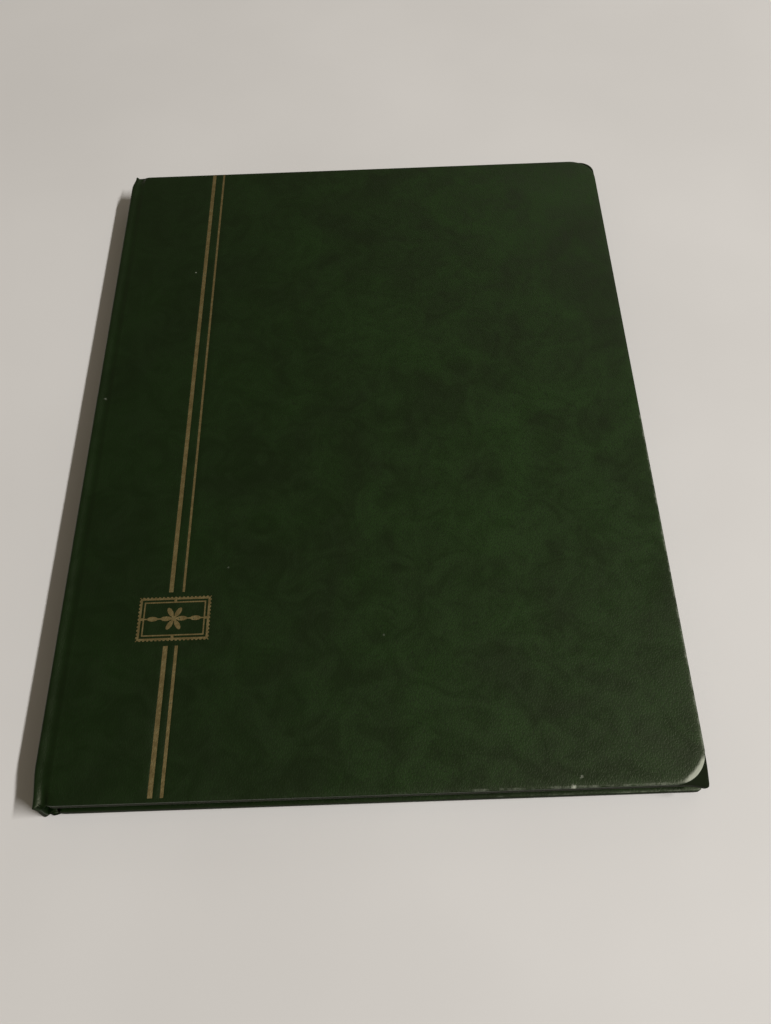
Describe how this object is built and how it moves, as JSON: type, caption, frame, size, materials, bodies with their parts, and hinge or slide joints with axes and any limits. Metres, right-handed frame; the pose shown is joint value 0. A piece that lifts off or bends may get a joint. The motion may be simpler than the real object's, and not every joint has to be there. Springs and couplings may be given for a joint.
{
  "type": "stamp album",
  "caption": "Padded leatherette stamp stockbook, lying shut: covered boards and spine, stiff card leaves with clear pocket strips and glassine interleaves that fan open with the cover.",
  "frame": {"origin": "centre of the back cover's outer face, which the shut album rests on", "axes": "+X from the spine to the fore-edge, +Y from the tail to the head, +Z from the back cover to the front cover"},
  "size_m": [0.23, 0.305, 0.015],
  "materials": {
    "leatherette": "dark green marbled leatherette, fine grain, satin",
    "greyboard": "raw grey binder's board",
    "foam": "thin soft foam sheet",
    "endpaper": "plain uncoated cream paper",
    "linen": "fine woven binding linen",
    "leaf_card": "smooth stiff cream card",
    "pocket_film": "clear thin film",
    "glassine": "translucent glazed glassine paper",
    "gold_foil": "hot-stamped gold foil, worn and dull"
  },
  "bodies": {
    "back_cover": {"back_cover_skin": "leatherette", "back_board": "greyboard", "back_padding": "foam", "back_pastedown": "endpaper", "back_end_hinge": "linen"},
    "spine": {"spine_skin": "leatherette", "spine_strip": "greyboard", "spine_lining": "endpaper", "binding_block": "linen"},
    "front_cover": {"front_cover_skin": "leatherette", "front_board": "greyboard", "front_padding": "foam", "front_pastedown": "endpaper", "front_end_hinge": "linen", "gold_rule_wide_upper": "gold_foil", "gold_rule_narrow_upper": "gold_foil", "gold_rule_wide_lower": "gold_foil", "gold_rule_narrow_lower": "gold_foil", "gold_emblem": "gold_foil"},
    "leaf_1": {"leaf_1_card": "leaf_card", "leaf_1_linen_hinge": "linen", "leaf_1_pockets_front": "pocket_film", "leaf_1_pockets_back": "pocket_film"},
    "interleaf_1": {"interleaf_1": "glassine"},
    "leaf_2": {"leaf_2_card": "leaf_card", "leaf_2_linen_hinge": "linen", "leaf_2_pockets_front": "pocket_film", "leaf_2_pockets_back": "pocket_film"},
    "interleaf_2": {"interleaf_2": "glassine"},
    "leaf_3": {"leaf_3_card": "leaf_card", "leaf_3_linen_hinge": "linen", "leaf_3_pockets_front": "pocket_film", "leaf_3_pockets_back": "pocket_film"},
    "interleaf_3": {"interleaf_3": "glassine"},
    "leaf_4": {"leaf_4_card": "leaf_card", "leaf_4_linen_hinge": "linen", "leaf_4_pockets_front": "pocket_film", "leaf_4_pockets_back": "pocket_film"},
    "interleaf_4": {"interleaf_4": "glassine"},
    "leaf_5": {"leaf_5_card": "leaf_card", "leaf_5_linen_hinge": "linen", "leaf_5_pockets_front": "pocket_film", "leaf_5_pockets_back": "pocket_film"},
    "interleaf_5": {"interleaf_5": "glassine"},
    "leaf_6": {"leaf_6_card": "leaf_card", "leaf_6_linen_hinge": "linen", "leaf_6_pockets_front": "pocket_film", "leaf_6_pockets_back": "pocket_film"},
    "interleaf_6": {"interleaf_6": "glassine"},
    "leaf_7": {"leaf_7_card": "leaf_card", "leaf_7_linen_hinge": "linen", "leaf_7_pockets_front": "pocket_film", "leaf_7_pockets_back": "pocket_film"},
    "interleaf_7": {"interleaf_7": "glassine"},
    "leaf_8": {"leaf_8_card": "leaf_card", "leaf_8_linen_hinge": "linen", "leaf_8_pockets_front": "pocket_film", "leaf_8_pockets_back": "pocket_film"}
  },
  "joints": [
    {"name": "spine_hinge", "type": "hinge", "parent": "back_cover", "child": "spine", "pos_m": [-0.1148, 0, 0.0002], "axis": [0, -1, 0], "range_deg": [0, 90]},
    {"name": "front_cover_hinge", "type": "hinge", "parent": "spine", "child": "front_cover", "pos_m": [-0.1148, 0, 0.0148], "axis": [0, -1, 0], "range_deg": [0, 90]},
    {"name": "leaf_1_hinge", "type": "hinge", "parent": "spine", "child": "leaf_1", "pos_m": [-0.1114, 0, 0.01034], "axis": [0, -1, 0], "range_deg": [0, 84.01]},
    {"name": "interleaf_1_hinge", "type": "hinge", "parent": "spine", "child": "interleaf_1", "pos_m": [-0.1114, 0, 0.00967], "axis": [0, -1, 0], "range_deg": [0, 78.51]},
    {"name": "leaf_2_hinge", "type": "hinge", "parent": "spine", "child": "leaf_2", "pos_m": [-0.1114, 0, 0.00954], "axis": [0, -1, 0], "range_deg": [0, 75.51]},
    {"name": "interleaf_2_hinge", "type": "hinge", "parent": "spine", "child": "interleaf_2", "pos_m": [-0.1114, 0, 0.00887], "axis": [0, -1, 0], "range_deg": [0, 70.01]},
    {"name": "leaf_3_hinge", "type": "hinge", "parent": "spine", "child": "leaf_3", "pos_m": [-0.1114, 0, 0.00873], "axis": [0, -1, 0], "range_deg": [0, 67.01]},
    {"name": "interleaf_3_hinge", "type": "hinge", "parent": "spine", "child": "interleaf_3", "pos_m": [-0.1114, 0, 0.00807], "axis": [0, -1, 0], "range_deg": [0, 61.51]},
    {"name": "leaf_4_hinge", "type": "hinge", "parent": "spine", "child": "leaf_4", "pos_m": [-0.1114, 0, 0.00793], "axis": [0, -1, 0], "range_deg": [0, 58.51]},
    {"name": "interleaf_4_hinge", "type": "hinge", "parent": "spine", "child": "interleaf_4", "pos_m": [-0.1114, 0, 0.00727], "axis": [0, -1, 0], "range_deg": [0, 53.01]},
    {"name": "leaf_5_hinge", "type": "hinge", "parent": "spine", "child": "leaf_5", "pos_m": [-0.1114, 0, 0.00713], "axis": [0, -1, 0], "range_deg": [-58.51, 0]},
    {"name": "interleaf_5_hinge", "type": "hinge", "parent": "spine", "child": "interleaf_5", "pos_m": [-0.1114, 0, 0.00647], "axis": [0, -1, 0], "range_deg": [-64.01, 0]},
    {"name": "leaf_6_hinge", "type": "hinge", "parent": "spine", "child": "leaf_6", "pos_m": [-0.1114, 0, 0.00634], "axis": [0, -1, 0], "range_deg": [-67.01, 0]},
    {"name": "interleaf_6_hinge", "type": "hinge", "parent": "spine", "child": "interleaf_6", "pos_m": [-0.1114, 0, 0.00567], "axis": [0, -1, 0], "range_deg": [-72.51, 0]},
    {"name": "leaf_7_hinge", "type": "hinge", "parent": "spine", "child": "leaf_7", "pos_m": [-0.1114, 0, 0.00553], "axis": [0, -1, 0], "range_deg": [-75.51, 0]},
    {"name": "interleaf_7_hinge", "type": "hinge", "parent": "spine", "child": "interleaf_7", "pos_m": [-0.1114, 0, 0.00487], "axis": [0, -1, 0], "range_deg": [-81.01, 0]},
    {"name": "leaf_8_hinge", "type": "hinge", "parent": "spine", "child": "leaf_8", "pos_m": [-0.1114, 0, 0.00473], "axis": [0, -1, 0], "range_deg": [-84.01, 0]}
  ],
  "couplings": [
    {"joint": "spine_hinge", "follows": "front_cover_hinge", "ratio": 1},
    {"joint": "leaf_1_hinge", "follows": "front_cover_hinge", "ratio": 0.93333},
    {"joint": "interleaf_1_hinge", "follows": "front_cover_hinge", "ratio": 0.87222},
    {"joint": "leaf_2_hinge", "follows": "front_cover_hinge", "ratio": 0.83889},
    {"joint": "interleaf_2_hinge", "follows": "front_cover_hinge", "ratio": 0.77778},
    {"joint": "leaf_3_hinge", "follows": "front_cover_hinge", "ratio": 0.74444},
    {"joint": "interleaf_3_hinge", "follows": "front_cover_hinge", "ratio": 0.68333},
    {"joint": "leaf_4_hinge", "follows": "front_cover_hinge", "ratio": 0.65},
    {"joint": "interleaf_4_hinge", "follows": "front_cover_hinge", "ratio": 0.58889},
    {"joint": "leaf_5_hinge", "follows": "front_cover_hinge", "ratio": -0.65},
    {"joint": "interleaf_5_hinge", "follows": "front_cover_hinge", "ratio": -0.71111},
    {"joint": "leaf_6_hinge", "follows": "front_cover_hinge", "ratio": -0.74444},
    {"joint": "interleaf_6_hinge", "follows": "front_cover_hinge", "ratio": -0.80556},
    {"joint": "leaf_7_hinge", "follows": "front_cover_hinge", "ratio": -0.83889},
    {"joint": "interleaf_7_hinge", "follows": "front_cover_hinge", "ratio": -0.9},
    {"joint": "leaf_8_hinge", "follows": "front_cover_hinge", "ratio": -0.93333}
  ]
}
